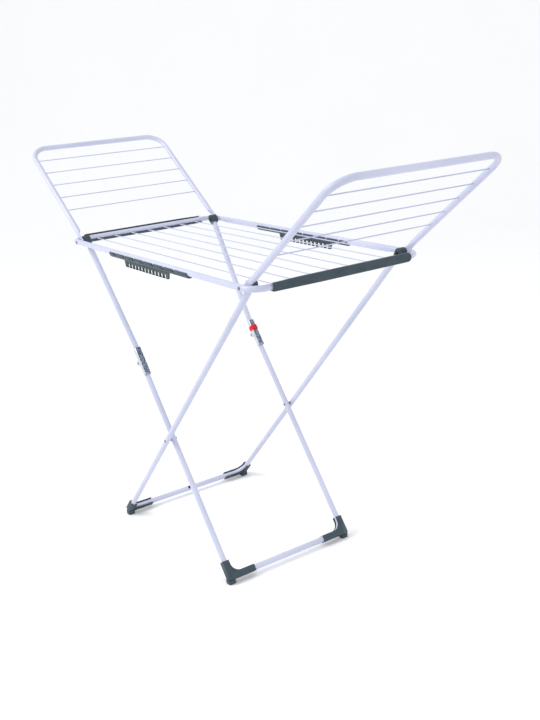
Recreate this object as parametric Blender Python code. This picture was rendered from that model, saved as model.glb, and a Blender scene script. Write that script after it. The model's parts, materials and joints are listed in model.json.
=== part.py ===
"""Winged clothes drying rack, parametric model for Blender 4.5.

Units are metres and +Z is up.  X runs along the rack, Y across it.  The origin is on the floor under the
middle of the drying frame.  The rack stands open: the two crossed leg frames are spread and both wings are
raised on their stops.  The outer leg frame is "leg B", the inner one with the knee is "leg A".
"""
import bpy
import bmesh
import math
from mathutils import Matrix, Vector

# ---------------------------------------------------------------- driving dimensions
GAP = 0.0003                 # clearance between neighbouring pieces
TUBE_R = 0.008               # frame and wing tubes are 16 mm
LEG_R = 0.0085               # leg tubes are 17 mm
STUB = 0.003                 # straight end of a bent tube
WIRE_R = 0.0015              # drying wires are 3 mm

FRAME_Z = 0.920              # height of the drying frame's tube axis
FRAME_X = 0.514              # half length of the frame, to the end tube's axis
FRAME_Y = 0.2540             # half width of the frame, to the long tube's axis
FRAME_BEND = 0.040
SEAM_X = 0.455               # where a long tube meets the bent end tube
WIRE_Z = 0.917
WIRE_PITCH = 0.059
SIDE_WIRE_END = 0.432        # the outermost wires end short of the pivots

PIN_X = 0.4675               # pivot pins of the wings and of the legs
PIN_R = 0.003
HEAD_R = 0.0052               # inner head of a pin, sunk in the cap
HOLE_R = 0.0033

WING_Y = 0.2375
WING_LEN = 0.439             # pin to the axis of the outer tube
WING_BEND = 0.055
WING_ANGLE = math.radians(36.8)
WING_FLAT = 0.042            # length of the flattened tube end
WING_WIRES = (0.1415, 0.2010, 0.2605, 0.3200, 0.3795)

LEG_B_Y = 0.2255
LEG_A_Y = 0.205
LEG_BEND = 0.040
FOOT_AXIS_Z = 0.0195         # height of the cross tubes' axes
FOOT_UP = 0.048               # lengths of a foot along the leg and along the cross tube
FOOT_LONG = 0.080
FOOT_HALF = 0.0103            # half its width and half its thickness
LEG_B_TOE = Vector((-0.4352, 0.0))
LEG_A_TOE = Vector((0.2079, 0.0))
KNEE_AXIS = Vector((-0.2260, 0.5753))
KNEE_OFFSET = 0.0089         # the knee pivot lies just under the tubes
TUBE_TOP = 0.0125            # the leg tubes start this far below the pin
CAP_R = 0.0118               # rounded head of a leg end cap
CAP_HEAD = 0.0050            # its centre lies this far past the pin
CAP_IN_Y = 0.2285            # inner and outer faces of the cap
CAP_OUT_Y = 0.2394

PIN_A = Vector((-PIN_X, FRAME_Z))
PIN_B = Vector((PIN_X, FRAME_Z))

# ---------------------------------------------------------------- scene and materials
for item in list(bpy.data.objects):
    bpy.data.objects.remove(item, do_unlink=True)

parts = bpy.data.collections.new("clothes_drying_rack")
tools = bpy.data.collections.new("cutters")
bpy.context.scene.collection.children.link(parts)
bpy.context.scene.collection.children.link(tools)


def material(name, colour, roughness, metallic=0.0):
    mat = bpy.data.materials.new(name)
    mat.use_nodes = True
    shader = mat.node_tree.nodes["Principled BSDF"]
    shader.inputs["Base Color"].default_value = (*colour, 1.0)
    shader.inputs["Roughness"].default_value = roughness
    shader.inputs["Metallic"].default_value = metallic
    return mat


LOOKS = {
    "tube": ((0.72, 0.73, 0.82), 0.35, 0.0),
    "wire": ((0.62, 0.64, 0.72), 0.40, 0.0),
    "plastic": ((0.075, 0.105, 0.13), 0.55, 0.0),
    "steel": ((0.45, 0.47, 0.50), 0.35, 1.0),
    "red": ((0.75, 0.01, 0.02), 0.35, 0.0),
}


# ---------------------------------------------------------------- axes of the moving pieces
def axis_empty(name, x, z):
    empty = bpy.data.objects.new(name, None)
    empty.location = (x, 0.0, z)
    empty.empty_display_size = 0.03
    parts.objects.link(empty)
    return empty


leg_dir_b = (LEG_B_TOE - PIN_B).normalized()
leg_dir_up = (KNEE_AXIS - PIN_A).normalized()
leg_dir_low = (LEG_A_TOE - KNEE_AXIS).normalized()
knee_dir = (leg_dir_up + leg_dir_low).normalized()
knee_under = Vector((knee_dir.y, -knee_dir.x))
if knee_under.x > 0.0:
    knee_under = -knee_under
KNEE = KNEE_AXIS + knee_under * KNEE_OFFSET

AXES = {
    "wing_left": axis_empty("axis_wing_left", -PIN_X, FRAME_Z),
    "wing_right": axis_empty("axis_wing_right", PIN_X, FRAME_Z),
    "leg_b": axis_empty("axis_leg_b", PIN_X, FRAME_Z),
    "leg_a_upper": axis_empty("axis_leg_a_upper", -PIN_X, FRAME_Z),
    "leg_a_lower": axis_empty("axis_knee", KNEE.x, KNEE.y),
    "lock_clip": axis_empty("axis_lock_clip", KNEE.x, KNEE.y),
}


# ---------------------------------------------------------------- modelling helpers
def finish(obj, look, body=None):
    """Give a piece its material, smooth shading and, if it moves, its axis as parent."""
    obj.data.materials.clear()
    obj.data.materials.append(material(obj.name, *LOOKS[look]))
    if obj.type == "MESH":
        obj.data.shade_smooth()
        obj.data.set_sharp_from_angle(angle=math.radians(35))
    if body is not None:
        empty = AXES[body]
        obj.parent = empty
        obj.matrix_parent_inverse = Matrix.Translation(empty.location).inverted()
    return obj


def rod(name, points, radius, resolution=4):
    """A round tube or wire along a list of points, as a bevelled poly curve."""
    curve = bpy.data.curves.new(name, "CURVE")
    curve.dimensions = "3D"
    curve.bevel_depth = radius
    curve.bevel_resolution = resolution
    curve.use_fill_caps = True
    spline = curve.splines.new("POLY")
    spline.points.add(len(points) - 1)
    for target, point in zip(spline.points, points):
        target.co = (*point, 1.0)
    obj = bpy.data.objects.new(name, curve)
    parts.objects.link(obj)
    return obj


def plate(name, outline, half, frame):
    """A flat closed outline, extruded by half its thickness each way, placed by the matrix frame."""
    curve = bpy.data.curves.new(name, "CURVE")
    curve.dimensions = "2D"
    curve.fill_mode = "BOTH"
    curve.extrude = half
    spline = curve.splines.new("POLY")
    spline.points.add(len(outline) - 1)
    for target, point in zip(spline.points, outline):
        target.co = (point[0], point[1], 0.0, 1.0)
    spline.use_cyclic_u = True
    obj = bpy.data.objects.new(name, curve)
    obj.matrix_world = frame
    parts.objects.link(obj)
    return obj


def as_mesh(obj):
    """Replace a curve object by a welded mesh of the same name, so that it can be cut or joined."""
    bpy.context.view_layer.update()
    world = obj.matrix_world.copy()
    graph = bpy.context.evaluated_depsgraph_get()
    mesh = bpy.data.meshes.new_from_object(obj.evaluated_get(graph))
    name = obj.name
    bpy.data.objects.remove(obj, do_unlink=True)
    bm = bmesh.new()
    bm.from_mesh(mesh)
    bmesh.ops.remove_doubles(bm, verts=bm.verts, dist=0.00001)
    bmesh.ops.dissolve_limit(bm, angle_limit=0.0002, verts=bm.verts, edges=bm.edges)
    bmesh.ops.recalc_face_normals(bm, faces=bm.faces)
    bm.to_mesh(mesh)
    bm.free()
    new = bpy.data.objects.new(name, mesh)
    new.matrix_world = world
    parts.objects.link(new)
    return new


def bar(name, start, end, radius, sides=16):
    """A solid round bar between two points."""
    start, end = Vector(start), Vector(end)
    mesh = bpy.data.meshes.new(name)
    bm = bmesh.new()
    bmesh.ops.create_cone(bm, cap_ends=True, segments=sides, radius1=radius, radius2=radius,
                          depth=(end - start).length)
    bm.to_mesh(mesh)
    bm.free()
    obj = bpy.data.objects.new(name, mesh)
    turn = (end - start).to_track_quat("Z", "Y").to_matrix().to_4x4()
    obj.matrix_world = Matrix.Translation((start + end) / 2.0) @ turn
    parts.objects.link(obj)
    return obj


def block(name, low, high, frame=None):
    """A box given by two opposite corners, in the axes of the matrix frame."""
    low, high = Vector(low), Vector(high)
    mesh = bpy.data.meshes.new(name)
    bm = bmesh.new()
    size = high - low
    bmesh.ops.create_cube(bm, size=1.0)
    bmesh.ops.scale(bm, vec=size, verts=bm.verts)
    bmesh.ops.translate(bm, vec=(low + high) / 2.0, verts=bm.verts)
    bm.to_mesh(mesh)
    bm.free()
    obj = bpy.data.objects.new(name, mesh)
    obj.matrix_world = frame if frame is not None else Matrix.Identity(4)
    parts.objects.link(obj)
    return obj


def combine(obj, tool, operation):
    """Add an exact Boolean to obj and move the tool to the cutters collection."""
    mod = obj.modifiers.new(tool.name, "BOOLEAN")
    mod.operation = operation
    mod.solver = "EXACT"
    mod.object = tool
    parts.objects.unlink(tool)
    tools.objects.link(tool)
    tool.hide_render = True
    tool.display_type = "WIRE"
    return obj


def axes_matrix(origin, x_axis, y_axis):
    """A frame with the given origin, its local X and local Y."""
    x_axis, y_axis = Vector(x_axis).normalized(), Vector(y_axis).normalized()
    z_axis = x_axis.cross(y_axis)
    rows = [(x_axis[i], y_axis[i], z_axis[i], origin[i]) for i in range(3)]
    return Matrix([*rows, (0.0, 0.0, 0.0, 1.0)])


def arc(centre, radius, start, stop, steps):
    """Points on a flat arc, angles in degrees."""
    out = []
    for i in range(steps + 1):
        angle = math.radians(start + (stop - start) * i / steps)
        out.append((centre[0] + radius * math.cos(angle), centre[1] + radius * math.sin(angle)))
    return out


def xz(flat, y):
    """A point of the XZ plane, lifted to 3-D at the given y."""
    return Vector((flat[0], y, flat[1]))


# ---------------------------------------------------------------- drying frame
def build_frame():
    for side, word in ((-1, "front"), (1, "back")):
        ends = [(-SEAM_X + GAP, side * FRAME_Y, FRAME_Z), (SEAM_X - GAP, side * FRAME_Y, FRAME_Z)]
        finish(rod("frame_long_" + word, ends, TUBE_R), "tube")

    inner = FRAME_X - FRAME_BEND
    for side, word in ((-1, "left"), (1, "right")):
        flat = [(SEAM_X, -FRAME_Y)]
        flat += arc((inner, -FRAME_Y + FRAME_BEND), FRAME_BEND, -90, 0, 7)
        flat += arc((inner, FRAME_Y - FRAME_BEND), FRAME_BEND, 0, 90, 7)
        flat += [(SEAM_X, FRAME_Y)]
        tube = as_mesh(rod("frame_end_" + word, [(side * x, y, FRAME_Z) for x, y in flat], TUBE_R))
        for edge in (-1, 1):
            hole = bar("frame_end_%s_hole_%d" % (word, edge), (side * PIN_X, edge * (FRAME_Y - 0.02), FRAME_Z),
                       (side * PIN_X, edge * (FRAME_Y + 0.02), FRAME_Z), HOLE_R)
            combine(tube, hole, "DIFFERENCE")
        finish(tube, "tube")

    reach = FRAME_X - TUBE_R - GAP
    for i in range(-3, 4):
        points = [(-reach, i * WIRE_PITCH, WIRE_Z), (reach, i * WIRE_PITCH, WIRE_Z)]
        finish(rod("frame_wire_%d" % (i + 5), points, WIRE_R, 2), "wire")
    for side, number in ((-1, 1), (1, 9)):
        y_run = side * 4 * WIRE_PITCH
        y_end = side * (FRAME_Y - TUBE_R - WIRE_R - GAP)
        half = [(SIDE_WIRE_END, y_end), (SIDE_WIRE_END - 0.010, y_end), (SIDE_WIRE_END - 0.030, y_run)]
        path = half + [(-x, y) for x, y in reversed(half)]
        finish(rod("frame_wire_%d" % number, [(x, y, WIRE_Z) for x, y in path], WIRE_R, 2), "wire")


def build_pins():
    for sx, end in ((-1, "left"), (1, "right")):
        for sy, word in ((-1, "front"), (1, "back")):
            at = lambda y: (sx * PIN_X, sy * y, FRAME_Z)
            outside = FRAME_Y + TUBE_R + GAP
            pin = bar("pivot_pin_%s_%s" % (end, word), at(CAP_IN_Y + 0.0010), at(outside + 0.0015), PIN_R)
            inner_head = bar(pin.name + "_inner_head", at(CAP_IN_Y + 0.0002), at(CAP_IN_Y + 0.0028), HEAD_R)
            outer_head = bar(pin.name + "_outer_head", at(outside), at(outside + 0.0018), 0.0050)
            combine(pin, inner_head, "UNION")
            combine(pin, outer_head, "UNION")
            finish(pin, "steel")


# ---------------------------------------------------------------- comb rails and end covers
RAIL_HALF = 0.226
COMB_SHIFT = 0.0165
COMB_TEETH = 12
COMB_LOW = -0.0325            # lower edge of the comb below the tube's axis


def build_rails():
    groove = TUBE_R + GAP
    section = [(-0.0105, 0.0015), (-0.0105, -0.0075), (-0.0078, -0.0118), (-0.0045, -0.0135)]
    section += [(-y, z) for y, z in reversed(section)]
    section += arc((0.0, 0.0), groove, 10, -190, 10)
    pitch = 0.0195
    for side, word in ((-1, "front"), (1, "back")):
        frame = axes_matrix((0.0, side * FRAME_Y, FRAME_Z), (0, 1, 0), (0, 0, 1))
        rail = as_mesh(plate("comb_rail_" + word, section, RAIL_HALF, frame))
        shift = side * COMB_SHIFT
        edge = [(-0.131, -0.0125), (-0.125, COMB_LOW)]
        for i in range(COMB_TEETH):
            centre = (i - (COMB_TEETH - 1) / 2.0) * pitch
            crown = 0.0005 * (2.0 * i / (COMB_TEETH - 1) - 1.0) ** 2
            edge += arc((centre, COMB_LOW + crown), 0.0064, 178, 2, 6)
        edge += [(0.125, COMB_LOW), (0.131, -0.0125)]
        comb_frame = axes_matrix((shift, side * FRAME_Y, FRAME_Z), (1, 0, 0), (0, 0, 1))
        comb = as_mesh(plate("comb_rail_%s_comb" % word, edge, 0.002, comb_frame))
        combine(rail, comb, "UNION")
        finish(rail, "plastic")


COVER_PLAIN_Y = -0.2040      # plain end, stops short of the corner
COVER_ROUND_Y = 0.2150       # rounded end, next to the pivot


def build_covers():
    out_x = FRAME_X + TUBE_R + 0.004
    in_x = FRAME_X - TUBE_R - 0.004
    low, high = FRAME_Z - 0.0115, FRAME_Z + 0.0120
    wall = 0.0026
    hook = out_x - 0.0085
    lip_top = FRAME_Z - 0.0062
    section = [(out_x, low), (out_x, high), (hook, high), (hook, high - wall),
               (out_x - wall, high - wall), (out_x - wall, low + wall - 0.0004),
               (in_x + wall, low + wall - 0.0004), (in_x + wall, lip_top), (in_x, lip_top), (in_x, low)]
    side_view = [(COVER_PLAIN_Y, FRAME_Z - 0.0095), (COVER_PLAIN_Y, FRAME_Z + 0.0105), (-0.12, high)]
    side_view += arc((COVER_ROUND_Y - 0.0117, FRAME_Z + 0.0003), 0.0117, 90, -80, 9)
    side_view += [(-0.05, low)]
    for side, word in ((-1, "left"), (1, "right")):
        frame = axes_matrix((0, 0, 0), (side, 0, 0), (0, 0, 1))
        length = 0.24
        cover = as_mesh(plate("end_cover_" + word, section, length, frame))
        trim_frame = axes_matrix((side * FRAME_X, 0, 0), (0, side, 0), (0, 0, 1))
        trim = as_mesh(plate("end_cover_%s_trim" % word, side_view, 0.03, trim_frame))
        combine(cover, trim, "INTERSECT")
        finish(cover, "plastic")


# ---------------------------------------------------------------- wings
def build_wing(side, word):
    body = "wing_" + word
    along = Vector((side * math.cos(WING_ANGLE), 0.0, math.sin(WING_ANGLE)))
    pin = Vector((side * PIN_X, 0.0, FRAME_Z))
    at = lambda r, y: pin + along * r + Vector((0.0, y, 0.0))
    start = WING_LEN - WING_BEND
    seam = start - STUB
    for sy, edge in ((-1, "front"), (1, "back")):
        ends = [at(WING_FLAT, sy * WING_Y), at(seam - GAP, sy * WING_Y)]
        tube = as_mesh(rod("%s_side_%s" % (body, edge), ends, TUBE_R))
        outline = [(WING_FLAT + 0.006, 0.0078)] + arc((0.0, 0.0), 0.0095, 55, 305, 12)
        outline += [(WING_FLAT + 0.006, -0.0078)]
        up = Vector((-side * math.sin(WING_ANGLE), 0.0, math.cos(WING_ANGLE)))
        eye = as_mesh(plate("%s_side_%s_eye" % (body, edge), outline, 0.0020,
                            axes_matrix(at(0.0, sy * 0.2418), along, up)))
        combine(tube, eye, "UNION")
        hole = bar("%s_side_%s_hole" % (body, edge), at(0.0, sy * 0.22), at(0.0, sy * 0.26), HOLE_R)
        combine(tube, hole, "DIFFERENCE")
        finish(tube, "tube", body)

    flat = [(seam, -WING_Y)] + arc((start, -WING_Y + WING_BEND), WING_BEND, -90, 0, 7)
    flat += arc((start, WING_Y - WING_BEND), WING_BEND, 0, 90, 7) + [(seam, WING_Y)]
    finish(rod(body + "_outer", [at(r, y) for r, y in flat], TUBE_R), "tube", body)

    reach = WING_Y - TUBE_R - GAP
    for number, r in enumerate(WING_WIRES, 1):
        finish(rod("%s_wire_%d" % (body, number), [at(r, -reach), at(r, reach)], WIRE_R, 2), "wire", body)


# ---------------------------------------------------------------- legs
def corner_point(origin, direction):
    """The point of a leg's axis at the height of the cross tube."""
    return origin + direction * ((FOOT_AXIS_Z - origin.y) / direction.y)


def build_cross(name, corner, up, half, body):
    """The lower tube of a leg frame with its two bends."""
    lift = Vector((up.x, 0.0, up.y))
    at = lambda p, y: xz(corner, y) + lift * p
    flat = [(LEG_BEND + STUB, -half)] + arc((LEG_BEND, -half + LEG_BEND), LEG_BEND, 270, 180, 7)
    flat += arc((LEG_BEND, half - LEG_BEND), LEG_BEND, 180, 90, 7) + [(LEG_BEND + STUB, half)]
    finish(rod(name, [at(p, y) for p, y in flat], LEG_R), "tube", body)


def build_foot(name, corner, up, side, half, body):
    """A moulded shoe on the bend of a leg frame, open on the inside, with a flat pad on the floor."""
    lift = Vector((up.x, 0.0, up.y))
    inward = Vector((0.0, -side, 0.0))
    origin = xz(corner, side * half)
    frame = axes_matrix(origin, lift, inward)
    outline = [(FOOT_UP, -FOOT_HALF), (FOOT_UP, FOOT_HALF)]
    outline += arc((FOOT_HALF + 0.026, FOOT_HALF + 0.026), 0.026, 270, 180, 5)[1:-1]
    outline += [(FOOT_HALF, FOOT_LONG), (-FOOT_HALF, FOOT_LONG)]
    outline += arc((-FOOT_HALF + 0.006, -FOOT_HALF + 0.006), 0.006, 180, 270, 3)
    foot = as_mesh(plate(name, outline, FOOT_HALF, frame))

    low = (corner.x - 0.0112, origin.y - 0.0112, 0.0)
    high = (corner.x + 0.0112, origin.y + 0.0112, 0.0140)
    pad = block(name + "_pad", low, high)
    pad.location.y -= side * 0.0005
    combine(foot, pad, "UNION")

    path = [(0.12, 0.0)] + arc((LEG_BEND, LEG_BEND), LEG_BEND, 270, 180, 7) + [(0.0, 0.12)]
    inside = LEG_R + 0.0005
    bore = as_mesh(rod(name + "_bore", [frame @ Vector((p, q, 0.0)) for p, q in path], inside, 5))
    combine(foot, bore, "DIFFERENCE")

    # the slot runs from the tube's axis to the inside of the bend
    slot = [(0.13, 0.0)] + arc((LEG_BEND, LEG_BEND), LEG_BEND, 270, 180, 7)
    slot += [(0.0, 0.13), (0.13, 0.13)]
    opening = as_mesh(plate(name + "_slot", slot, inside - 0.0004, frame))
    combine(foot, opening, "DIFFERENCE")
    finish(foot, "plastic", body)


def build_cap(name, pin, direction, side, body):
    """The moulded end plug of a leg tube with the eye that turns on the pivot pin."""
    along = Vector((direction.x, 0.0, direction.y))
    centre = xz(pin, 0.0)
    outline = [(TUBE_TOP - GAP, 0.0080)] + arc((-CAP_HEAD, 0.0), CAP_R, 60, 300, 12)
    outline += [(TUBE_TOP - GAP, -0.0080)]
    middle = centre + Vector((0.0, side * (CAP_IN_Y + CAP_OUT_Y) / 2.0, 0.0))
    across = Vector((-along.z, 0.0, along.x))
    half = (CAP_OUT_Y - CAP_IN_Y) / 2.0
    cap = as_mesh(plate(name, outline, half, axes_matrix(middle, along, across)))
    axis = centre + Vector((0, side * LEG_B_Y, 0))
    plug = bar(name + "_plug", axis + along * 0.0092, axis + along * (TUBE_TOP - GAP),
               LEG_R - 0.0001, 20)
    combine(cap, plug, "UNION")
    hole = bar(name + "_hole", centre + Vector((0.0, side * 0.20, 0.0)),
               centre + Vector((0.0, side * 0.25, 0.0)), HOLE_R)
    combine(cap, hole, "DIFFERENCE")
    seat = bar(name + "_seat", centre + Vector((0.0, side * 0.20, 0.0)),
               centre + Vector((0.0, side * (CAP_IN_Y + 0.0031), 0.0)), HEAD_R + 0.0005)
    combine(cap, seat, "DIFFERENCE")
    finish(cap, "plastic", body)


def build_leg_b():
    corner = corner_point(PIN_B, leg_dir_b)
    up = -leg_dir_b
    top = PIN_B + leg_dir_b * TUBE_TOP
    bottom = corner + up * (LEG_BEND + STUB + GAP)
    slope_b = (PIN_B.x - LEG_B_TOE.x) / PIN_B.y
    slope_a = (KNEE_AXIS.x - LEG_A_TOE.x) / KNEE_AXIS.y
    height = (LEG_A_TOE.x - LEG_B_TOE.x) / (slope_b - slope_a)
    cross = Vector((LEG_B_TOE.x + slope_b * height, height))
    for sy, word in ((-1, "front"), (1, "back")):
        ends = [xz(top, sy * LEG_B_Y), xz(bottom, sy * LEG_B_Y)]
        tube = as_mesh(rod("leg_b_side_" + word, ends, LEG_R))
        rivet = bar(tube.name + "_rivet", xz(cross, sy * (LEG_A_Y + LEG_R + 0.0006)),
                    xz(cross, sy * (LEG_B_Y + LEG_R + 0.0012)), 0.0040)
        combine(tube, rivet, "UNION")
        finish(tube, "tube", "leg_b")
        build_cap("leg_b_cap_" + word, PIN_B, leg_dir_b, sy, "leg_b")
        build_foot("leg_b_foot_" + word, corner, up, sy, LEG_B_Y, "leg_b")
    build_cross("leg_b_cross", corner, up, LEG_B_Y, "leg_b")
    face = Vector((0.72, 0.0, 0.69))
    centre = xz(corner, 0.0)
    screw = bar("leg_b_joint_screw", centre + face * (LEG_R + GAP),
                centre + face * (LEG_R + 0.0028), 0.0045)
    finish(screw, "plastic", "leg_b")
    return cross


BRACKET_HALF = 0.045         # half length of the knee bracket along the leg
CLIP_UP = 0.0180             # the lock clip's middle lies this far above the knee
CLIP_LONG = 0.0150
BRACKET_IN = 0.0088          # inside half width
BRACKET_T = 0.0013
WEB_IN = 0.0105              # the web clears the upper tube, which leans 2 degrees towards it
WEB_OUT = WEB_IN + BRACKET_T


def knee_matrix(side):
    """Local X runs down the lower tube, local Y to the bracket's web, origin where the tubes' axes meet."""
    down = Vector((leg_dir_low.x, 0.0, leg_dir_low.y))
    face = Vector((-down.z, 0.0, down.x))
    return axes_matrix(xz(KNEE_AXIS, side * LEG_A_Y), down, face)


def knee_pivot(frame):
    """The knee pivot in the bracket's own axes."""
    return frame.inverted() @ xz(KNEE, frame.translation.y)


def build_knee(side, word):
    """The channel bracket on the lower leg tube, with the pivot rivet across its two ears."""
    frame = knee_matrix(side)
    outer = BRACKET_IN + BRACKET_T
    name = "knee_bracket_" + word
    local = knee_pivot(frame)
    flange = [(-BRACKET_HALF, -0.0020), (-BRACKET_HALF, WEB_OUT)]
    flange += [(BRACKET_HALF, WEB_OUT), (BRACKET_HALF, -0.0020)]
    flange += [(0.0098, -0.0021)] + arc((local.x, local.y), 0.0075, 20, -200, 12) + [(-0.0098, -0.0021)]
    bracket = as_mesh(plate(name, flange, outer, frame))
    hollow = block(name + "_hollow", (-0.08, -0.05, -BRACKET_IN), (0.08, WEB_IN, BRACKET_IN), frame)
    combine(bracket, hollow, "DIFFERENCE")
    pivot = frame @ local
    across = Vector((0.0, outer + 0.0004, 0.0))
    rivet = bar(name + "_rivet", pivot - across, pivot + across, 0.0025, 14)
    combine(bracket, rivet, "UNION")
    finish(bracket, "steel", "leg_a_lower")


def build_leg_a(cross):
    corner = corner_point(KNEE_AXIS, leg_dir_low)
    up = -leg_dir_low
    low_top = KNEE_AXIS + leg_dir_low * 0.0095
    low_end = corner + up * (LEG_BEND + STUB + GAP)
    high_top = PIN_A + leg_dir_up * TUBE_TOP
    straight = KNEE_AXIS - leg_dir_up * 0.060
    high_end = KNEE_AXIS - leg_dir_up * 0.0040
    for sy, word in ((-1, "front"), (1, "back")):
        ends = [xz(low_top, sy * LEG_A_Y), xz(low_end, sy * LEG_A_Y)]
        tube = as_mesh(rod("leg_a_lower_side_" + word, ends, LEG_R))
        rivet = bar(tube.name + "_rivet", xz(cross, sy * (LEG_A_Y - LEG_R - 0.0016)),
                    xz(cross, sy * LEG_A_Y), 0.0040)
        combine(tube, rivet, "UNION")
        finish(tube, "tube", "leg_a_lower")
        build_foot("leg_a_foot_" + word, corner, up, sy, LEG_A_Y, "leg_a_lower")
        build_knee(sy, word)

        points = [xz(high_top, sy * LEG_B_Y), xz(high_top + leg_dir_up * 0.0140, sy * LEG_B_Y),
                  xz(straight, sy * LEG_A_Y), xz(high_end, sy * LEG_A_Y)]
        upper = as_mesh(rod("leg_a_upper_" + word, points, LEG_R))
        frame = knee_matrix(sy)
        half = 0.0060
        lug_outline = [(-0.0200, -0.0070), (-0.0200, 0.0040), (-0.0045, 0.0040), (0.0030, -0.0050)]
        local = knee_pivot(frame)
        lug_outline += arc((local.x, local.y), 0.0058, 30, -160, 10)
        lug = as_mesh(plate(upper.name + "_lug", lug_outline, half, frame))
        combine(upper, lug, "UNION")
        pivot = frame @ local
        reach = Vector((0.0, 0.02, 0.0))
        hole = bar(upper.name + "_hole", pivot - reach, pivot + reach, 0.0028, 14)
        combine(upper, hole, "DIFFERENCE")
        finish(upper, "tube", "leg_a_upper")
        build_cap("leg_a_cap_" + word, PIN_A, leg_dir_up, sy, "leg_a_upper")
    build_cross("leg_a_cross", corner, up, LEG_A_Y, "leg_a_lower")


def build_clip():
    """The red sliding clip that holds the upper tube in the back knee bracket."""
    frame = knee_matrix(1)
    side_in = BRACKET_IN + BRACKET_T + GAP
    side_out = side_in + 0.0010
    web_in = WEB_OUT + GAP
    crown = web_in + 0.0030
    lip_in, lip_top, lip_low = BRACKET_IN, -0.0024, -0.0044
    half = [(lip_in, lip_low), (lip_in, lip_top), (side_in, lip_top), (side_in, web_in)]
    section = half + [(-x, y) for x, y in reversed(half)]
    section += [(-side_out, lip_low), (-side_out, web_in - 0.0010), (-0.0085, crown)]
    section += [(0.0085, crown), (side_out, web_in - 0.0010), (side_out, lip_low)]
    turned = frame.to_3x3()
    across = turned @ Vector((0.0, 0.0, 1.0))
    face = turned @ Vector((0.0, 1.0, 0.0))
    centre = frame @ Vector((-CLIP_UP, 0.0, 0.0))
    clip = as_mesh(plate("lock_clip", section, CLIP_LONG / 2.0, axes_matrix(centre, across, face)))
    finish(clip, "red", "lock_clip")


build_frame()
build_pins()
build_rails()
build_covers()
build_wing(-1, "left")
build_wing(1, "right")
crossing = build_leg_b()
build_leg_a(crossing)
build_clip()
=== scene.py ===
"""Looks of the winged clothes drying rack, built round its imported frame.

Units are metres and +Z is up.  X runs along the rack and Y across it.  Every piece is made where the frame
says, in the rest pose, and rides on its own body.
"""
import json
import math

import bmesh
import bpy
from mathutils import Matrix, Vector


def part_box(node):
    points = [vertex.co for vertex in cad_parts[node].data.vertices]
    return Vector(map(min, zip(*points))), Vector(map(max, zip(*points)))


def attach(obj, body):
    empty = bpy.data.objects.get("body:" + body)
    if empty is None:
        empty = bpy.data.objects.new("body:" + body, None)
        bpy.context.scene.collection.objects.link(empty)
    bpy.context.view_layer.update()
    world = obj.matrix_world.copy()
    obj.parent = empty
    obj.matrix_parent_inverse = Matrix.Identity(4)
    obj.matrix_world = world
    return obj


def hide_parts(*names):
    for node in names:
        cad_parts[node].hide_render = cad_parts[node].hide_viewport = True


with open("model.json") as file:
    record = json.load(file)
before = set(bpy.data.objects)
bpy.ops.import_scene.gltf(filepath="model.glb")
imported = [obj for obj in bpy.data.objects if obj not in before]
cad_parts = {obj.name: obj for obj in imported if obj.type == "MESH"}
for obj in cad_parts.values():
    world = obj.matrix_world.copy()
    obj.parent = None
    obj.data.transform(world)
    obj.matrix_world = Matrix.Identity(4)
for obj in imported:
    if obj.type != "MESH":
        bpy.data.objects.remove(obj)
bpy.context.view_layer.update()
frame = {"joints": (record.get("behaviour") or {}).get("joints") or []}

# ---------------------------------------------------------------- sizes, read from the frame where it has them
JOINTS = {joint["name"]: joint for joint in frame["joints"]}


def middle(node, axis):
    """The middle of a node's box along one axis."""
    low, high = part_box(node)
    return (low[axis] + high[axis]) / 2.0


def extent(node, axis):
    """The length of a node's box along one axis."""
    low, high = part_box(node)
    return high[axis] - low[axis]


PIN_X = JOINTS["fold"]["pos_m"][0]
FRAME_Z = JOINTS["fold"]["pos_m"][2]
TUBE_R = extent("frame_long_back", 2) / 2.0
FRAME_Y = middle("frame_long_back", 1)
FRAME_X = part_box("frame_end_right")[1][0] - TUBE_R
FRAME_BEND = 0.040
WIRE_R = 0.0015
WIRE_Z = middle("frame_wire_5", 2)

WING_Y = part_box("wing_right_side_back")[1][1] - TUBE_R
WING_BEND = 0.055
WING_ANGLE = math.atan2(middle("wing_right_wire_5", 2) - FRAME_Z, middle("wing_right_wire_5", 0) - PIN_X)
WING_LEN = (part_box("wing_right_outer")[1][0] - TUBE_R - PIN_X) / math.cos(WING_ANGLE)
EYE_Y = 0.2418               # middle of the wings' flattened ends

LEG_R = 0.0085
LEG_B_Y = 0.2255
LEG_A_Y = 0.2050
LEG_BEND = 0.040
FOOT_AXIS_Z = 0.0195
FOOT_UP, FOOT_LONG, FOOT_HALF = 0.048, 0.080, 0.0101
TUBE_TOP = 0.0125
LEG_B_TOE = Vector((-0.4352, 0.0))
LEG_A_TOE = Vector((0.2079, 0.0))
KNEE_AXIS = Vector((-0.2260, 0.5753))
KNEE = Vector((JOINTS["knee"]["pos_m"][0], JOINTS["knee"]["pos_m"][2]))
PIN_A = Vector((-PIN_X, FRAME_Z))
PIN_B = Vector((PIN_X, FRAME_Z))
CAP_IN_Y, CAP_OUT_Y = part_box("leg_b_cap_back")[0][1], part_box("leg_b_cap_back")[1][1]

dir_b = (LEG_B_TOE - PIN_B).normalized()
dir_up = (KNEE_AXIS - PIN_A).normalized()
dir_low = (LEG_A_TOE - KNEE_AXIS).normalized()

SIDES = 28                   # sides of a round tube
WIRE_SIDES = 12


# ---------------------------------------------------------------- materials
def new_material(name):
    mat = bpy.data.materials.new(name)
    mat.use_nodes = True
    nodes, links = mat.node_tree.nodes, mat.node_tree.links
    return mat, nodes, links, nodes["Principled BSDF"]


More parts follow.
